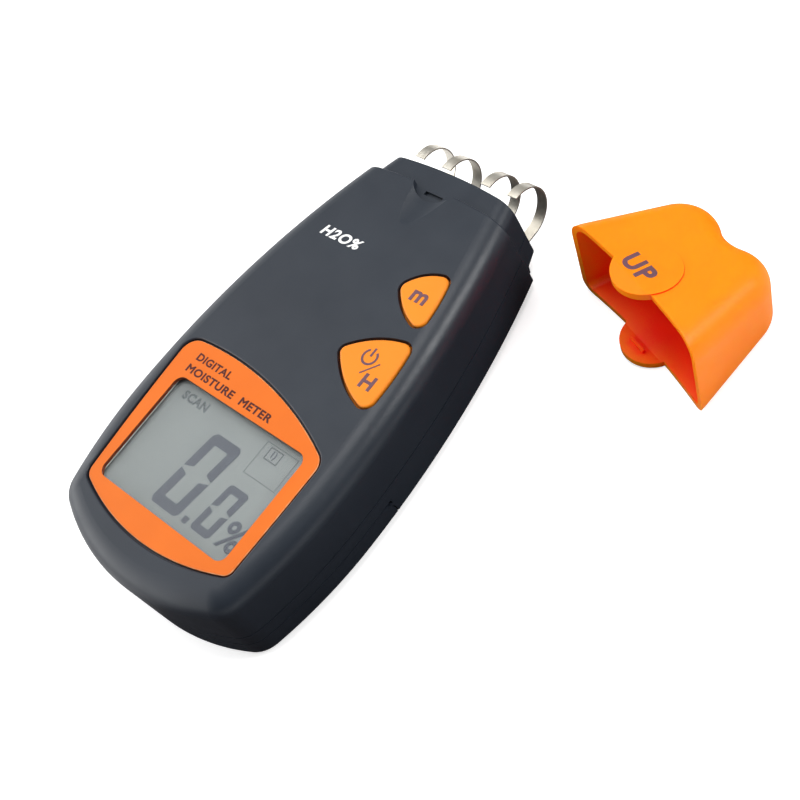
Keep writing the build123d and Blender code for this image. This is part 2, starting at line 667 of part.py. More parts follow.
def make_battery_snap():
    """Snap connector that covers both battery terminals."""
    y = BATTERY_Y + BATTERY_SIZE[1] + 0.3
    z = BATTERY_Z + BATTERY_SIZE[2] / 2
    cover = box((-12.6, 12.6), (y, y + 4.6), (z - 6.0, z + 6.0))
    cover = fillet(cover.edges().filter_by(Axis.Y), 5.0)
    for x, radius in ((-6.35, 3.0), (6.35, 4.5)):
        cover -= Pos(x, y + 1.3, z) * Rot(90, 0, 0) * Cylinder(radius, 2.8)
    return cover


def battery_lead(side):
    """Lead from the snap connector out of the bay and up to the board."""
    x = side * 9.0
    y = BATTERY_Y + BATTERY_SIZE[1] + 4.9
    z = BATTERY_Z + BATTERY_SIZE[2] / 2
    return tube([(x, y, z), (x, y + 4, z), (x, y + 8, z - 3), (x, y + 13, z), (x, y + 13, BOARD_Z)], 0.65, 2.4)


def make_battery_pad():
    z = BATTERY_Z + BATTERY_SIZE[2] / 2
    return box((-10, 10), (BAY_START_Y, BATTERY_Y), (z - 6, z + 6))


def make_shell_screws():
    screws = []
    for x, y in SCREW_SPOTS:
        head = disc(x, y, 4.2, 6.0, SCREW_HEAD_RADIUS)
        shank = disc(x, y, 6.0, SEAM_Z + 7.5, SCREW_RADIUS - 0.02)
        screw = head + shank
        screw -= box((x - 1.3, x + 1.3), (y - 0.3, y + 0.3), (4.0, 5.1))
        screw -= box((x - 0.3, x + 0.3), (y - 1.3, y + 1.3), (4.0, 5.1))
        screws.append(screw)
    return Compound(children=screws)


def cap_plan(wall=0.0):
    """Cap seen from the front: tapered sides and two lobes at the closed end."""
    taper = math.radians(CAP_SIDE_TAPER)
    radius = CAP_LOBE_RADIUS - wall
    lobe_y = SHOULDER_Y + CAP_LENGTH - CAP_LOBE_RADIUS
    lobe_x = CAP_MOUTH_HALF - (lobe_y - SHOULDER_Y) * math.tan(taper) - CAP_LOBE_RADIUS / math.cos(taper)
    # The dip between the lobes is an arc that runs smoothly into both
    drop = CAP_LOBE_RADIUS - CAP_DIP
    dip_radius = (lobe_x**2 + drop**2 - CAP_LOBE_RADIUS**2) / (2 * (CAP_LOBE_RADIUS - drop))
    dip_y = lobe_y + drop + dip_radius
    reach = CAP_LOBE_RADIUS + dip_radius
    meet = (lobe_x - radius * lobe_x / reach, lobe_y + radius * (dip_y - lobe_y) / reach)
    side = (lobe_x + radius * math.cos(taper), lobe_y + radius * math.sin(taper))
    turn = (math.atan2(meet[1] - lobe_y, meet[0] - lobe_x) + taper) / 2
    crown = (lobe_x + radius * math.cos(turn), lobe_y + radius * math.sin(turn))
    start_y = SHOULDER_Y - CAP_RUN_IN
    start_x = CAP_MOUTH_HALF - wall / math.cos(taper) + CAP_RUN_IN * math.tan(taper)
    edges = [
        Line((start_x, start_y), side),
        ThreePointArc(side, crown, meet),
        ThreePointArc(meet, (0, dip_y - dip_radius - wall), (-meet[0], meet[1])),
        ThreePointArc((-meet[0], meet[1]), (-crown[0], crown[1]), (-side[0], side[1])),
        Line((-side[0], side[1]), (-start_x, start_y)),
        Line((-start_x, start_y), (start_x, start_y)),
    ]
    return make_face(edges)


def cap_wedge(wall):
    """Side view of the cap: level over the tabs, then both faces slope in to the closed end."""
    start, end = SHOULDER_Y - CAP_RUN_IN, SHOULDER_Y + CAP_LENGTH + 5.0
    top = front_z(SHOULDER_Y) + 0.1 - wall
    low_end = wall + (end - SHOULDER_Y) * math.tan(math.radians(CAP_BACK_SLOPE))
    high_end = top - (end - SHOULDER_Y) * math.tan(math.radians(CAP_FRONT_SLOPE))
    corners = [(start, wall), (SHOULDER_Y, wall), (end, low_end), (end, high_end), (SHOULDER_Y, top), (start, top)]
    return extrude(Plane.YZ * make_face(Polyline(*corners, close=True)), BODY_WIDTH, both=True)


def cap_body(wall):
    """Cap as a solid lump, inset by wall, with its front and back edges rounded."""
    solid = slab(cap_plan(wall), -5, 40) & cap_wedge(wall)

    def on_rim(edge):
        middle = edge.position_at(0.5)
        upright = abs(edge.tangent_at(0.5).Z) > 0.8
        across = abs(edge.tangent_at(0.5).X) > 0.99 and middle.Y < SHOULDER_Y + 1
        return middle.Y > SHOULDER_Y - CAP_RUN_IN + 0.1 and not upright and not across
    front = solid.edges().filter_by(lambda e: on_rim(e) and e.position_at(0.5).Z > 12)
    solid = fillet(front, CAP_EDGE_RADIUS - wall)
    back = solid.edges().filter_by(
        lambda e: on_rim(e) and e.position_at(0.5).Z < 12 and abs(e.position_at(0.5).X) > 0.5 * CAP_LOBE_RADIUS
        or on_rim(e) and e.position_at(0.5).Z < 12 and e.position_at(0.5).Y > SHOULDER_Y + 15
    )
    return fillet(back, CAP_BACK_RADIUS - wall)


def make_cap():
    """Cap as it sits on the head; place_cap moves it to where it lies."""
    cap = cap_body(0.0) - cap_body(CAP_WALL)
    # Relief inside the front wall, so that it clears the head
    relief = box((-CAP_RELIEF_HALF, CAP_RELIEF_HALF), (SHOULDER_Y - CAP_RUN_IN, HEAD_Y + 0.8), (10, 40))
    cap -= relief & under_front(HEAD_INSET - TAB_GAP, 0)
    # Raised disc on the front, which carries on from the front tab
    cap += (slab(tab_plan(TAB_REACH, TAB_GAP), 14, 50) & cap_wedge(-CAP_DISC_RISE)) - cap_wedge(CAP_WALL / 2)
    # The mouth follows the shoulder line, with the two tabs left standing
    half = half_width(SHOULDER_Y - SHOULDER_SAG)
    radius = (half**2 + SHOULDER_SAG**2) / (2 * SHOULDER_SAG)
    shoulder = Pos(0, SHOULDER_Y + MOUTH_GAP - radius) * Circle(radius) & Pos(0, SHOULDER_Y - 8) * Rectangle(80, 20)
    front_tab = slab(tab_plan(TAB_REACH, TAB_GAP), 14, 50)
    back_tab = slab(tab_plan(BACK_TAB_REACH, TAB_GAP), -10, 14)
    tabs = (front_tab + back_tab) & box((-20, 20), (40, SHOULDER_Y + 3), (-20, 50))
    cap -= slab(shoulder, -10, 50) - tabs
    # Snap ridges on the inside of both tabs
    y = (SNAP_SLOT_Y[0] + TAB_GAP, SNAP_SLOT_Y[1] - TAB_GAP)
    inside_front = front_z(SHOULDER_Y) + 0.1 - CAP_WALL
    cap += box((-2.7, 2.7), y, (inside_front - SNAP_DEPTH, inside_front + 0.1))
    cap += box((-2.7, 2.7), y, (CAP_WALL - 0.1, CAP_WALL + SNAP_DEPTH))
    return cap


def place_cap(shape):
    """Lay the cap on its back face beside the head."""
    hinge = Pos(0, -SHOULDER_Y, 0)
    laid = Rot(-CAP_BACK_SLOPE, 0, 0) * hinge * shape
    return Pos(*CAP_PLACE, 0) * Rot(0, 0, -CAP_YAW) * laid


OUTER = outer_solid()
CAVITY = cavity_solid()


def build_all():
    mode_key = make_key(mode_key_plan)
    power_key = make_key(power_key_plan)
    nodes = {
        "front_shell": make_front_shell(),
        "back_shell": make_back_shell(),
        "battery_door": make_battery_door(),
        "display_bezel": make_display_bezel(),
        "display_window": make_display_window(),
        "lcd_panel": make_lcd_panel(),
        "lcd_frame": make_lcd_frame(),
        "zebra_strips": make_zebra_strips(),
        "main_board": make_main_board(),
        "controller_chip": make_controller_chip(),
        "amplifier_chip": make_amplifier_chip(),
        "board_parts": make_board_parts(),
        "keypad_web": make_keypad_web(),
        "mode_key": mode_key,
        "power_key": power_key,
        "mode_key_pill": make_pill(mode_key, MODE_PILL),
        "power_key_pill": make_pill(power_key, POWER_PILL),
        "strip_holder": make_strip_holder(),
        "holder_screws": make_holder_screws(),
        "sensor_leads": make_sensor_leads(),
        "battery": make_battery(),
        "battery_snap": make_battery_snap(),
        "battery_lead_red": battery_lead(-1),
        "battery_lead_black": battery_lead(1),
        "battery_pad": make_battery_pad(),
        "shell_screws": make_shell_screws(),
        "cap": place_cap(make_cap()),
    }
    for number, x in enumerate(STRIP_X, start=1):
        nodes[f"sensor_strip_{number}"] = make_sensor_strip(x)
    return nodes


if __name__ == "__main__":
    os.makedirs("parts", exist_ok=True)
    for name, shape in build_all().items():
        export_step(shape, f"parts/{name}.step")
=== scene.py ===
import json
import math

import bmesh
import bpy
from mathutils import Matrix, Vector
from mathutils.bvhtree import BVHTree


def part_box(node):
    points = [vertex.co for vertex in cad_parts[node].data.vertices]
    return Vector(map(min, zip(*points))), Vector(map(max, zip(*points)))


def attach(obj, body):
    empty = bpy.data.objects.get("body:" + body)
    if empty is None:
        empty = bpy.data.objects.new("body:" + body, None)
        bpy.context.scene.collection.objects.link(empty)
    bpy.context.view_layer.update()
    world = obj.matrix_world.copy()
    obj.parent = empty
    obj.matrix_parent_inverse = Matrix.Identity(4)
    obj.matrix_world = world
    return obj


MM = 0.001
MARK_THICKNESS = 0.04 * MM
MARK_LIFT = 0.03 * MM
# Marks at the highest points of the part lie lower, so that they stay within the part's own height
LOW_MARK_LIFT = 0.008 * MM

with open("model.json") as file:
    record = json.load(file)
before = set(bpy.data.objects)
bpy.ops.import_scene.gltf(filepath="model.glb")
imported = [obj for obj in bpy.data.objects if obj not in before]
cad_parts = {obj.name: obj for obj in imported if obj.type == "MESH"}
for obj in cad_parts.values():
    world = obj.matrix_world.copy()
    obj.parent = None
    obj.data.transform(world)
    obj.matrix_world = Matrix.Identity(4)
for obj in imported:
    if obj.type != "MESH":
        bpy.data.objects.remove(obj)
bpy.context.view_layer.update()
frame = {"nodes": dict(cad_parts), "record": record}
nodes = frame["nodes"]


# ---------------------------------------------------------------- materials

def new_material(name):
    material = bpy.data.materials.new(name)
    material.use_nodes = True
    tree = material.node_tree
    shader = next(n for n in tree.nodes if n.type == "BSDF_PRINCIPLED")
    return material, tree, shader


def noise(tree, scale, detail, rough=0.55, stretch=(1, 1, 1)):
    """Noise in object space. scale is in cycles per metre."""
    place = tree.nodes.new("ShaderNodeTexCoord")
    mapping = tree.nodes.new("ShaderNodeMapping")
    mapping.inputs["Scale"].default_value = stretch
    texture = tree.nodes.new("ShaderNodeTexNoise")
    texture.inputs["Scale"].default_value = scale
    texture.inputs["Detail"].default_value = detail
    texture.inputs["Roughness"].default_value = rough
    tree.links.new(place.outputs["Object"], mapping.inputs["Vector"])
    tree.links.new(mapping.outputs["Vector"], texture.inputs["Vector"])
    return texture.outputs["Fac"]


def remap(tree, value, low, high, to_low, to_high):
    node = tree.nodes.new("ShaderNodeMapRange")
    node.inputs["From Min"].default_value = low
    node.inputs["From Max"].default_value = high
    node.inputs["To Min"].default_value = to_low
    node.inputs["To Max"].default_value = to_high
    tree.links.new(value, node.inputs["Value"])
    return node.outputs["Result"]


def blend_colours(tree, factor, colour_a, colour_b):
    node = tree.nodes.new("ShaderNodeMix")
    node.data_type = "RGBA"
    sockets = [s for s in node.inputs if s.type == "RGBA"]
    for socket, colour in zip(sockets, (colour_a, colour_b)):
        if isinstance(colour, tuple):
            socket.default_value = (*colour, 1)
        else:
            tree.links.new(colour, socket)
    tree.links.new(factor, node.inputs[0])
    return next(s for s in node.outputs if s.type == "RGBA")


def link_math(tree, operation, first, second):
    """Combine two number sockets with one Math node."""
    node = tree.nodes.new("ShaderNodeMath")
    node.operation = operation
    tree.links.new(first, node.inputs[0])
    tree.links.new(second, node.inputs[1])
    return node.outputs["Value"]


def drifting_colour(tree, scale, dark, light):
    """Colour that drifts slowly between two tones over the surface."""
    return blend_colours(tree, remap(tree, noise(tree, scale, 2), 0.3, 0.7, 0, 1), dark, light)


def uneven_gloss(tree, shader, scale, rough, spread):
    """Roughness that varies either side of one value by spread."""
    gloss = remap(tree, noise(tree, scale, 4), 0.25, 0.75, rough - spread, rough + spread)
    tree.links.new(gloss, shader.inputs["Roughness"])


def bump(tree, shader, height, strength, distance):
    node = tree.nodes.new("ShaderNodeBump")
    node.inputs["Strength"].default_value = strength
    node.inputs["Distance"].default_value = distance
    tree.links.new(height, node.inputs["Height"])
    tree.links.new(node.outputs["Normal"], shader.inputs["Normal"])


def plastic(name, light, dark, rough, specular=0.5, grain=2600, grain_depth=0.02 * MM,
            grain_strength=0.25, sheen=0.0):
    """Moulded plastic or rubber: fine surface grain, slow colour drift and uneven gloss."""
    material, tree, shader = new_material(name)
    tree.links.new(drifting_colour(tree, 45, dark, light), shader.inputs["Base Color"])
    uneven_gloss(tree, shader, 160, rough, 0.05)
    bump(tree, shader, noise(tree, grain, 2), grain_strength, grain_depth)
    shader.inputs["Specular IOR Level"].default_value = specular
    shader.inputs["Sheen Weight"].default_value = sheen
    return material


def deep_plastic(name, light, dark, hollow_shade_red, rough):
    """Lit-through plastic whose base colour is painted redder in a hollow, a painted shade for the light
    that arrives there after many bounces.
    """
    material, tree, shader = new_material(name)
    colour = drifting_colour(tree, 45, dark, light)
    hollow = tree.nodes.new("ShaderNodeAmbientOcclusion")
    hollow.samples = 8
    hollow.only_local = True
    hollow.inputs["Distance"].default_value = 30 * MM
    # Painted shade: where ambient occlusion is low, the base colour is painted red, standing in for
    # light bounced many times in the hollow
    colour = blend_colours(tree, remap(tree, hollow.outputs["AO"], 0.82, 0.50, 0, 1), colour, hollow_shade_red)
    tree.links.new(colour, shader.inputs["Base Color"])
    uneven_gloss(tree, shader, 160, rough, 0.05)
    bump(tree, shader, noise(tree, 1800, 2), 0.12, 0.02 * MM)
    shader.inputs["Specular IOR Level"].default_value = 0.2
    shader.inputs["Subsurface Weight"].default_value = 0.5
    shader.inputs["Subsurface Radius"].default_value = (4.0 * MM, 0.7 * MM, 0.1 * MM)
    shader.inputs["Subsurface Scale"].default_value = 1.0
    return material


def painted_light_plastic(name, light, dark, rim_highlight, upright_shade, rough):
    """Glossier plastic whose rounded rim is painted paler in patches, a painted highlight, and whose
    upright sides are painted dark brown, a painted shade.

    The rim is where the face turns from level, and an upright side is where it stands upright.
    """
    material, tree, shader = new_material(name)
    colour = drifting_colour(tree, 60, dark, light)
    geometry = tree.nodes.new("ShaderNodeNewGeometry")
    split = tree.nodes.new("ShaderNodeSeparateXYZ")
    tree.links.new(geometry.outputs["True Normal"], split.inputs["Vector"])
    level = tree.nodes.new("ShaderNodeMath")
    level.operation = "ABSOLUTE"
    tree.links.new(split.outputs["Z"], level.inputs[0])
    rim = remap(tree, level.outputs["Value"], 0.97, 0.75, 0, 1)
    patchy = remap(tree, noise(tree, 420, 5), 0.38, 0.62, 0.25, 0.95)
    # Painted highlight: the rounded rim is painted paler in patches, as if it caught the light
    colour = blend_colours(tree, link_math(tree, "MULTIPLY", rim, patchy), colour, rim_highlight)
    # Painted shade: faces that stand upright are painted dark brown, as if in shadow
    colour = blend_colours(tree, remap(tree, level.outputs["Value"], 0.5, 0.3, 0, 1), colour, upright_shade)
    tree.links.new(colour, shader.inputs["Base Color"])
    uneven_gloss(tree, shader, 220, rough, 0.06)
    bump(tree, shader, noise(tree, 1800, 2), 0.2, 0.02 * MM)
    shader.inputs["Specular IOR Level"].default_value = 0.28
    return material


def metal(name, light, dark, rough, stretch=(1, 1, 1)):
    """Metal with a fine grain and a faint tarnish.

    stretch squeezes the grain along an axis, so that it runs across that axis.
    """
    material, tree, shader = new_material(name)
    tarnish = noise(tree, 240, 4)
    colour = blend_colours(tree, remap(tree, tarnish, 0.35, 0.7, 0, 1), light, dark)
    tree.links.new(colour, shader.inputs["Base Color"])
    shader.inputs["Metallic"].default_value = 1.0
    drawn = noise(tree, 900, 3, 0.6, stretch)
    tree.links.new(remap(tree, drawn, 0.3, 0.7, rough - 0.07, rough + 0.08), shader.inputs["Roughness"])
    bump(tree, shader, drawn, 0.25, 0.01 * MM)
    return material


def clear_window(name):
    """Clear window that lets lamps through to the display."""
    material, tree, shader = new_material(name)
    shader.inputs["Base Color"].default_value = (0.98, 1.0, 0.99, 1)
    shader.inputs["Transmission Weight"].default_value = 1.0
    shader.inputs["IOR"].default_value = 1.22
    tree.links.new(remap(tree, noise(tree, 300, 4), 0.3, 0.8, 0.0, 0.012), shader.inputs["Roughness"])
    output = next(n for n in tree.nodes if n.type == "OUTPUT_MATERIAL")
    rays = tree.nodes.new("ShaderNodeLightPath")
    through = tree.nodes.new("ShaderNodeBsdfTransparent")
    mix = tree.nodes.new("ShaderNodeMixShader")
    tree.links.new(rays.outputs["Is Shadow Ray"], mix.inputs[0])
    tree.links.new(shader.outputs["BSDF"], mix.inputs[1])
    tree.links.new(through.outputs["BSDF"], mix.inputs[2])
    tree.links.new(mix.outputs["Shader"], output.inputs["Surface"])
    return material


def board_laminate(name):
    """Green solder mask with paler copper runs under it."""
    material, tree, shader = new_material(name)
    runs = noise(tree, 420, 0, 0.5, (1, 0.25, 1))
    mask, copper = (0.012, 0.10, 0.035), (0.02, 0.19, 0.06)
    colour = blend_colours(tree, remap(tree, runs, 0.5, 0.53, 0, 1), mask, copper)
    tree.links.new(colour, shader.inputs["Base Color"])
    shader.inputs["Roughness"].default_value = 0.35
    bump(tree, shader, runs, 0.4, 0.03 * MM)
    return material


SHELL = plastic("shell_slate", (0.020, 0.026, 0.036), (0.016, 0.021, 0.030), 0.38, specular=0.36,
                grain=3200, grain_depth=0.03 * MM, grain_strength=0.35)
# The bezel's paler colour is a painted highlight on its rim, and its dark brown is a painted shade on
# its upright sides
BEZEL = painted_light_plastic("bezel_orange", (0.70, 0.142, 0.003), (0.64, 0.126, 0.002), (0.85, 0.42, 0.20),
                     (0.16, 0.035, 0.012), 0.42)
# The cap's third colour is its painted shade, the red painted into its hollow
CAP = deep_plastic("cap_orange", (1.0, 0.235, 0.002), (0.97, 0.215, 0.002), (1.0, 0.018, 0.0002), 0.42)
KEYS = plastic("key_silicone", (0.80, 0.230, 0.004), (0.76, 0.21, 0.003), 0.55, specular=0.28,
               grain=2400, sheen=0.08)
WINDOW = clear_window("window_clear_moulded")
GLASS = plastic("display_reflector", (0.150, 0.160, 0.160), (0.138, 0.148, 0.149), 0.5,
                specular=0.2, grain_strength=0.0)
SEGMENT = plastic("display_segment", (0.040, 0.045, 0.060), (0.036, 0.040, 0.054), 0.45,
                  grain_strength=0.0)
FAINT = plastic("display_segment_faint", (0.052, 0.060, 0.066), (0.047, 0.055, 0.061), 0.45,
                grain_strength=0.0)
FAINTER = plastic("display_segment_off", (0.078, 0.086, 0.089), (0.072, 0.080, 0.083), 0.45,
                  grain_strength=0.0)
NATURAL = plastic("moulding_white", (0.70, 0.70, 0.67), (0.64, 0.64, 0.61), 0.5)
DARK_RUBBER = plastic("rubber_dark", (0.02, 0.02, 0.022), (0.012, 0.012, 0.014), 0.7)
CHIP = plastic("chip_package", (0.018, 0.018, 0.019), (0.012, 0.012, 0.013), 0.55, grain=6000)
MIXED = plastic("small_parts", (0.10, 0.09, 0.22), (0.30, 0.22, 0.12), 0.4)
LEAD_RED = plastic("lead_red_vinyl", (0.55, 0.02, 0.015), (0.45, 0.015, 0.012), 0.4)
LEAD_BLACK = plastic("lead_black_vinyl", (0.02, 0.02, 0.02), (0.012, 0.012, 0.012), 0.4)
JACKET = metal("battery_jacket_steel", (0.20, 0.22, 0.26), (0.12, 0.13, 0.16), 0.35)
SNAP = plastic("snap_vinyl", (0.03, 0.03, 0.03), (0.02, 0.02, 0.02), 0.45)
FOAM = plastic("foam_grey", (0.18, 0.18, 0.19), (0.12, 0.12, 0.13), 0.9, grain=1500,
               grain_depth=0.3 * MM, grain_strength=0.8)
STRIP = metal("strip_nickel", (0.94, 0.90, 0.80), (0.80, 0.74, 0.62), 0.38, (6, 1, 1))
SCREW = metal("screw_plated", (0.62, 0.62, 0.60), (0.48, 0.48, 0.46), 0.30)
INK_WHITE = plastic("ink_white", (0.86, 0.86, 0.85), (0.78, 0.78, 0.77), 0.5)
INK_BROWN = plastic("ink_brown", (0.085, 0.014, 0.008), (0.065, 0.010, 0.006), 0.5, specular=0.25)
INK_PURPLE = plastic("ink_purple", (0.13, 0.05, 0.075), (0.10, 0.04, 0.06), 0.55)

FINISHES = {
    "shell_plastic": SHELL, "orange_plastic": BEZEL, "cap_plastic": CAP, "key_rubber": KEYS,
    "window_clear": WINDOW, "lcd_glass": GLASS, "frame_plastic": NATURAL, "dark_rubber": DARK_RUBBER,
    "board_laminate": board_laminate("board_green"), "chip_black": CHIP, "component_mix": MIXED,
    "screw_steel": SCREW, "lead_red": LEAD_RED, "lead_black": LEAD_BLACK, "battery_jacket": JACKET,
    "snap_black": SNAP, "foam_grey": FOAM, "strip_metal": STRIP,
}

for entry in frame["record"]["subparts"]:
    mesh = nodes[entry["node"]].data
    mesh.materials.clear()
    mesh.materials.append(FINISHES[entry["material_slot"]])


# ------------------------------------------------------------ marks and text

def surface_of(node):
    mesh = nodes[node].data
    faces = [tuple(p.vertices) for p in mesh.polygons]
    return BVHTree.FromPolygons([v.co for v in mesh.vertices], faces)


MARKED_NODES = ("front_shell", "display_bezel", "mode_key", "power_key", "cap")
SURFACES = {name: surface_of(name) for name in MARKED_NODES}


def drop_onto(bm, node, lift=MARK_LIFT):
    """Lay a flat mesh drawn in X and Y on top of a CAD node, keeping its own thickness."""
    for vertex in bm.verts:
        start = Vector((vertex.co.x, vertex.co.y, 0.2))
        hit = SURFACES[node].ray_cast(start, Vector((0, 0, -1)))[0]
        vertex.co.z += (hit.z if hit else 0) + lift


def text_mesh(text, height, width=None, shear=0.0, weight=0.0, spacing=1.0):
    """Thin letters centred on the origin in a box of the given height and width, in mm.

    weight is how far each stroke is thickened on either side.
    """
    curve = bpy.data.curves.new("letters", "FONT")
    curve.body = text
    curve.size = height * MM
    curve.shear = shear
    curve.space_character = spacing
    curve.extrude = 0.01 * MM
    curve.bevel_depth = weight * MM
    curve.bevel_resolution = 0
    curve.resolution_u = 6
    holder = bpy.data.objects.new("letters", curve)
    bpy.context.scene.collection.objects.link(holder)
    bpy.context.view_layer.update()
    mesh = bpy.data.meshes.new_from_object(holder)
    bm = bmesh.new()
    bm.from_mesh(mesh)
    bpy.data.objects.remove(holder)
    bpy.data.meshes.remove(mesh)
    low = [min(v.co[k] for v in bm.verts) for k in range(3)]
    high = [max(v.co[k] for v in bm.verts) for k in range(3)]
    tall = height * MM / (high[1] - low[1])
    wide = width * MM / (high[0] - low[0]) if width else tall
    for vertex in bm.verts:
        vertex.co.x = (vertex.co.x - (low[0] + high[0]) / 2) * wide
        vertex.co.y = (vertex.co.y - (low[1] + high[1]) / 2) * tall
        vertex.co.z = (vertex.co.z - (low[2] + high[2]) / 2) * MARK_THICKNESS / (high[2] - low[2])
    bmesh.ops.remove_doubles(bm, verts=bm.verts, dist=1e-7)
    return bm


def add_polygon(bm, points):
    """Closed thin plate with the given outline, in mm."""
    low = [bm.verts.new((x * MM, y * MM, -MARK_THICKNESS / 2)) for x, y in points]
    high = [bm.verts.new((x * MM, y * MM, MARK_THICKNESS / 2)) for x, y in points]
    bm.faces.new(high)
    bm.faces.new(list(reversed(low)))
    count = len(points)
    for i in range(count):
        j = (i + 1) % count
        bm.faces.new((low[i], low[j], high[j], high[i]))


def add_rectangle(bm, left, right, low, high):
    add_polygon(bm, [(left, low), (right, low), (right, high), (left, high)])


def band_section(bm, inner, outer):
    """Corners of a thin band where it is cut from its inner to its outer edge, both given in mm."""
    inner = [c * MM for c in inner]
    outer = [c * MM for c in outer]
    half = MARK_THICKNESS / 2
    corners = ((*inner, -half), (*outer, -half), (*outer, half), (*inner, half))
    return [bm.verts.new(corner) for corner in corners]


def join_sections(bm, sections):
    for a, b in zip(sections, sections[1:]):
        for k in range(4):
            m = (k + 1) % 4
            bm.faces.new((a[k], b[k], b[m], a[m]))


def add_arc(bm, inner, outer, start, end, steps=40):
    """Closed thin arc band round the origin, radii in mm and angles in degrees from +X."""
    sections = []
    for i in range(steps + 1):
        angle = math.radians(start + (end - start) * i / steps)
        c, s = math.cos(angle), math.sin(angle)
        sections.append(band_section(bm, (inner * c, inner * s), (outer * c, outer * s)))
    join_sections(bm, sections)
    bm.faces.new(sections[0])
    bm.faces.new(list(reversed(sections[-1])))


def add_frame(bm, left, right, low, high, line):
    """Closed thin rectangular frame whose sides are line wide, in mm."""
    inset = ((left, low, line, line), (right, low, -line, line), (right, high, -line, -line),
             (left, high, line, -line))
    sections = [band_section(bm, (x + dx, y + dy), (x, y)) for x, y, dx, dy in inset]
    join_sections(bm, sections + sections[:1])


def finish_piece(bm, name, material, body):
    bmesh.ops.recalc_face_normals(bm, faces=bm.faces)
    mesh = bpy.data.meshes.new(name)
    bm.to_mesh(mesh)
    bm.free()
    mesh.materials.append(material)
    piece = bpy.data.objects.new(name, mesh)
    bpy.context.scene.collection.objects.link(piece)
    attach(piece, body)


def turn_and_place(bm, angle, x, y):
    matrix = Matrix.Translation((x * MM, y * MM, 0)) @ Matrix.Rotation(math.radians(angle), 4, "Z")
    bmesh.ops.transform(bm, matrix=matrix, verts=bm.verts)


def printed(name, text, height, width, x, y, node, material, body, slot, lift=MARK_LIFT, **style):
    """Words printed on a CAD node, sizes and place in mm."""
    bm = text_mesh(text, height, width, **style)
    turn_and_place(bm, 0, x, y)
    drop_onto(bm, node, lift)
    finish_piece(bm, name, material, body)


printed("bezel_text_upper", "DIGITAL", 2.2, 13.3, -16.8, -9.9, "display_bezel", INK_BROWN, "housing",
        "orange_plastic", weight=0.08, spacing=1.1)
printed("bezel_text_lower", "MOISTURE  METER", 2.25, 32.6, -7.6, -13.6, "display_bezel", INK_BROWN,
        "housing", "orange_plastic", weight=0.08, spacing=1.1)
printed("face_mark", "H2O%", 3.1, 14.2, -12.3, 35.5, "front_shell", INK_WHITE, "housing",
        "shell_plastic", shear=0.22, weight=0.11, spacing=1.12)
printed("mode_legend", "m", 3.15, 4.9, 20.0, 30.5, "mode_key", INK_PURPLE, "mode_key", "key_rubber",
        weight=0.1)
printed("hold_legend", "H", 3.9, 3.9, 24.5, 6.1, "power_key", INK_PURPLE, "power_key", "key_rubber",
        weight=0.14, lift=LOW_MARK_LIFT)


def power_symbol():
    """A broken ring with an upright bar, and the slash after it."""
    radius, half_line = 2.0, 0.3
    bm = bmesh.new()
    add_arc(bm, radius - half_line, radius + half_line, 125, 415)
    add_rectangle(bm, -half_line, half_line, 0.2, 2.6)
    turn_and_place(bm, 0, 20.2, 11.7)
    drop_onto(bm, "power_key")
    finish_piece(bm, "power_legend", INK_PURPLE, "power_key")
    bm = bmesh.new()
    add_rectangle(bm, -0.2, 0.2, -2.7, 2.7)
    turn_and_place(bm, -38, 22.4, 9.2)
    drop_onto(bm, "power_key")
    finish_piece(bm, "slash_legend", INK_PURPLE, "power_key")


power_symbol()


# -------------------------------------------------------------- display marks

LCD_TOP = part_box("lcd_panel")[1].z
DIGIT_SLANT = math.tan(math.radians(8))


def display_piece(bm, name, material):
    for vertex in bm.verts:
        vertex.co.z += LCD_TOP + MARK_LIFT
    finish_piece(bm, name, material, "housing")


def zero_segments(bm, left, right, low, high, bar):
    """A slanted zero in two open halves, with clipped outer corners and a slit half way up."""
    clip = 0.4 * bar
    slit = 0.11 * bar
    middle = (low + high) / 2
    right -= (high - low) * DIGIT_SLANT

    def half(flip):
        end = high if flip > 0 else low

        def y(depth):
            return end - flip * depth
        reach = abs(end - middle) - slit
        inner = 1.1 * bar
        tip = y(reach - 0.35 * bar)
        outline = [
            (left, y(reach)), (left, y(clip)), (left + clip, y(0)), (right - clip, y(0)),
            (right, y(clip)), (right, y(reach)), (right - bar, tip), (right - bar, y(inner)),
            (right - inner, y(bar)), (left + inner, y(bar)), (left + bar, y(inner)), (left + bar, tip),
        ]
        points = [(px + (py - low) * DIGIT_SLANT, py) for px, py in outline]
        add_polygon(bm, points[::-1] if flip > 0 else points)
    half(1)
    half(-1)


digits = bmesh.new()
zero_segments(digits, -7.2, 6.4, -45.2, -23.0, 2.8)
zero_segments(digits, 8.1, 17.0, -44.9, -31.0, 2.0)
add_polygon(digits, [(4.9, -45.0), (6.7, -45.0), (6.9, -43.2), (5.1, -43.2)])
display_piece(digits, "display_digits", SEGMENT)

percent = text_mesh("%", 7.6, shear=0.14, weight=0.16)
turn_and_place(percent, 0, 20.5, -40.9)
display_piece(percent, "display_percent", SEGMENT)

scan = text_mesh("SCAN", 2.6, 9.6, weight=0.12, spacing=1.1)
turn_and_place(scan, 0, -16.0, -19.4)
display_piece(scan, "display_scan", FAINT)

icon = bmesh.new()
add_frame(icon, 10.3, 21.6, -27.2, -17.7, 0.28)
display_piece(icon, "display_icon_outer", FAINTER)
icon = bmesh.new()
add_frame(icon, 12.4, 17.0, -21.9, -18.4, 0.35)
display_piece(icon, "display_icon_inner", FAINT)
one = text_mesh("1)", 2.4, weight=0.1)
turn_and_place(one, 0, 14.7, -20.1)
display_piece(one, "display_one", SEGMENT)


# ------------------------------------------------------------------ cap marks

# How the cap lies beside the meter, in degrees and mm
CAP_YAW = -19.3
CAP_SPOT = (61.1, 54.7)
CAP_TILT = -8.6
SHOULDER_Y = 58.8


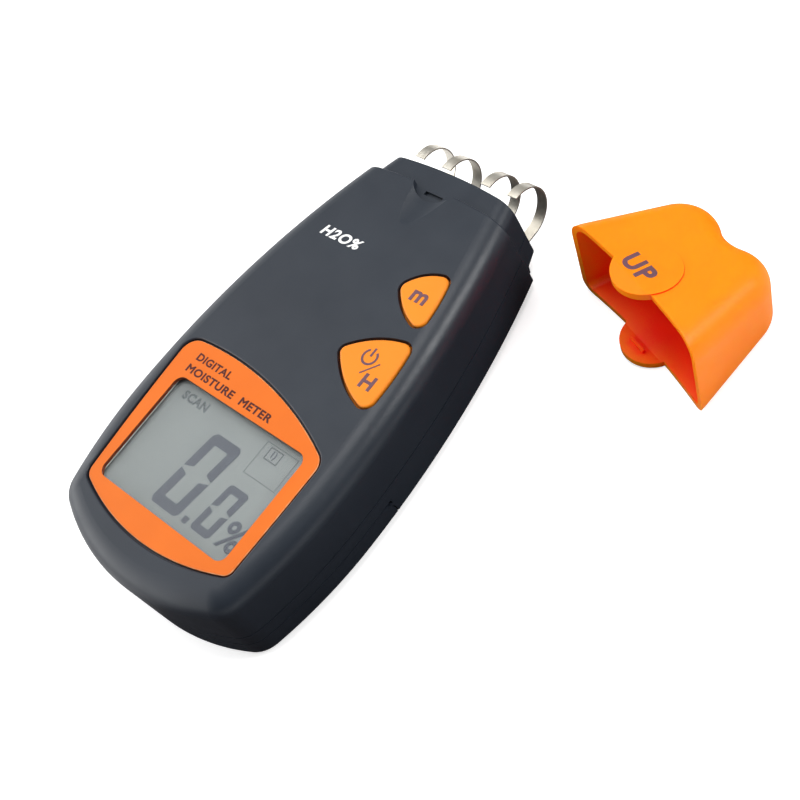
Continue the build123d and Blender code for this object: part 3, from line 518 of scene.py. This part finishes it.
def cap_point(x, y, z):
    """Where a point of the seated cap lies once the cap is put down beside the meter, in mm."""
    tilt = Matrix.Rotation(math.radians(CAP_TILT), 4, "X")
    turn = Matrix.Rotation(math.radians(CAP_YAW), 4, "Z")
    return turn @ (tilt @ Vector((x, y - SHOULDER_Y, z))) + Vector((*CAP_SPOT, 0))


cap_text_centre = cap_point(-1.2, 62.1, 25.4)
cap_letters = text_mesh("UP", 4.9, 9.0, weight=0.2, spacing=1.15)
turn_and_place(cap_letters, CAP_YAW, cap_text_centre.x, cap_text_centre.y)
drop_onto(cap_letters, "cap", LOW_MARK_LIFT)
finish_piece(cap_letters, "cap_text", INK_PURPLE, "cap")


# -------------------------------------------------------------- stage and view

LIT_SPOT = Vector((0.03, 0.03, 0.0))


def soft_light(name, place, size, power):
    """Square area lamp that faces the object, sizes in metres."""
    data = bpy.data.lights.new(name, "AREA")
    data.shape = "RECTANGLE"
    data.size = size
    data.size_y = size
    data.energy = power
    lamp = bpy.data.objects.new(name, data)
    bpy.context.scene.collection.objects.link(lamp)
    lamp.location = place
    lamp.rotation_euler = (LIT_SPOT - Vector(place)).to_track_quat("-Z", "Y").to_euler()


def make_floor():
    bm = bmesh.new()
    bmesh.ops.create_grid(bm, x_segments=1, y_segments=1, size=4.0)
    mesh = bpy.data.meshes.new("floor")
    bm.to_mesh(mesh)
    bm.free()
    floor = bpy.data.objects.new("floor", mesh)
    floor.location.z = -0.2 * MM
    bpy.context.scene.collection.objects.link(floor)
    material, tree, shader = new_material("floor_white")
    # A band beside the meter is painted dark, a painted shade on the floor that leaves the meter's right
    # side little to reflect
    place = tree.nodes.new("ShaderNodeNewGeometry")
    split = tree.nodes.new("ShaderNodeSeparateXYZ")
    tree.links.new(place.outputs["Position"], split.inputs["Vector"])
    near_side = remap(tree, split.outputs["X"], -0.035, 0.0, 0, 1)
    far_side = remap(tree, split.outputs["X"], 0.070, 0.095, 1, 0)
    band = link_math(tree, "MULTIPLY", near_side, far_side)
    tone = blend_colours(tree, band, (0.78, 0.78, 0.79), (0.05, 0.04, 0.04))
    tree.links.new(tone, shader.inputs["Base Color"])
    shader.inputs["Roughness"].default_value = 0.9
    shader.inputs["Specular IOR Level"].default_value = 0.1
    # Seen by the camera the floor is paper white; the light that it throws back on the object is softer
    output = next(n for n in tree.nodes if n.type == "OUTPUT_MATERIAL")
    rays = tree.nodes.new("ShaderNodeLightPath")
    paper = tree.nodes.new("ShaderNodeBsdfDiffuse")
    paper.inputs["Color"].default_value = (0.8, 0.8, 0.8, 1)
    glow = tree.nodes.new("ShaderNodeEmission")
    glow.inputs["Strength"].default_value = 0.55
    both = tree.nodes.new("ShaderNodeAddShader")
    mix = tree.nodes.new("ShaderNodeMixShader")
    tree.links.new(paper.outputs["BSDF"], both.inputs[0])
    tree.links.new(glow.outputs["Emission"], both.inputs[1])
    tree.links.new(rays.outputs["Is Camera Ray"], mix.inputs[0])
    tree.links.new(shader.outputs["BSDF"], mix.inputs[1])
    tree.links.new(both.outputs["Shader"], mix.inputs[2])
    tree.links.new(mix.outputs["Shader"], output.inputs["Surface"])
    mesh.materials.append(material)


make_floor()

world = bpy.data.worlds.new("studio")
bpy.context.scene.world = world
world.use_nodes = True
background = next(n for n in world.node_tree.nodes if n.type == "BACKGROUND")
background.inputs["Color"].default_value = (1.0, 1.0, 1.0, 1)
sky = world.node_tree
facing = sky.nodes.new("ShaderNodeTexCoord")
split = sky.nodes.new("ShaderNodeSeparateXYZ")
sky.links.new(facing.outputs["Generated"], split.inputs["Vector"])


def towards(direction):
    """How far the sky's direction points along the given one, from -1 to 1."""
    node = sky.nodes.new("ShaderNodeVectorMath")
    node.operation = "DOT_PRODUCT"
    node.inputs[1].default_value = direction
    sky.links.new(facing.outputs["Generated"], node.inputs[0])
    return node.outputs["Value"]


# Brighter overhead and to the left, darker in front on the right, and plain white to the camera
overhead = remap(sky, split.outputs["Z"], 0.05, 0.95, 0.03, 0.62)
dark_side = remap(sky, towards((0.70, -0.70, 0.0)), 0.15, 0.80, 1.0, 0.35)
bright_side = remap(sky, towards((-0.85, -0.52, 0.0)), 0.40, 0.95, 0.0, 3.2)
strength = link_math(sky, "ADD", link_math(sky, "MULTIPLY", overhead, dark_side), bright_side)
seen = sky.nodes.new("ShaderNodeLightPath")
strength = link_math(sky, "MAXIMUM", strength, seen.outputs["Is Camera Ray"])
sky.links.new(strength, background.inputs["Strength"])

soft_light("overhead", (-0.05, 0.22, 0.75), 0.50, 3.2)
soft_light("head_side", (0.50, 0.42, 0.42), 0.26, 3.2)

camera_data = bpy.data.cameras.new("camera")
camera_data.sensor_width = 36.0
camera_data.lens = 63.9
camera_data.clip_start = 0.01
camera = bpy.data.objects.new("camera", camera_data)
bpy.context.scene.collection.objects.link(camera)
# Directions of the picture's right and upper edges and back to the camera, and where it stands in metres
right = Vector((0.6935, 0.6130, -0.3786))
up = Vector((-0.4035, 0.7658, 0.5008))
back = Vector((0.5968, -0.1945, 0.7784))
place = Vector((0.2280, -0.0565, 0.2792))
camera.matrix_world = Matrix((
    (right.x, up.x, back.x, place.x),
    (right.y, up.y, back.y, place.y),
    (right.z, up.z, back.z, place.z),
    (0, 0, 0, 1),
))
bpy.context.scene.camera = camera
bpy.context.scene.view_settings.view_transform = "Standard"
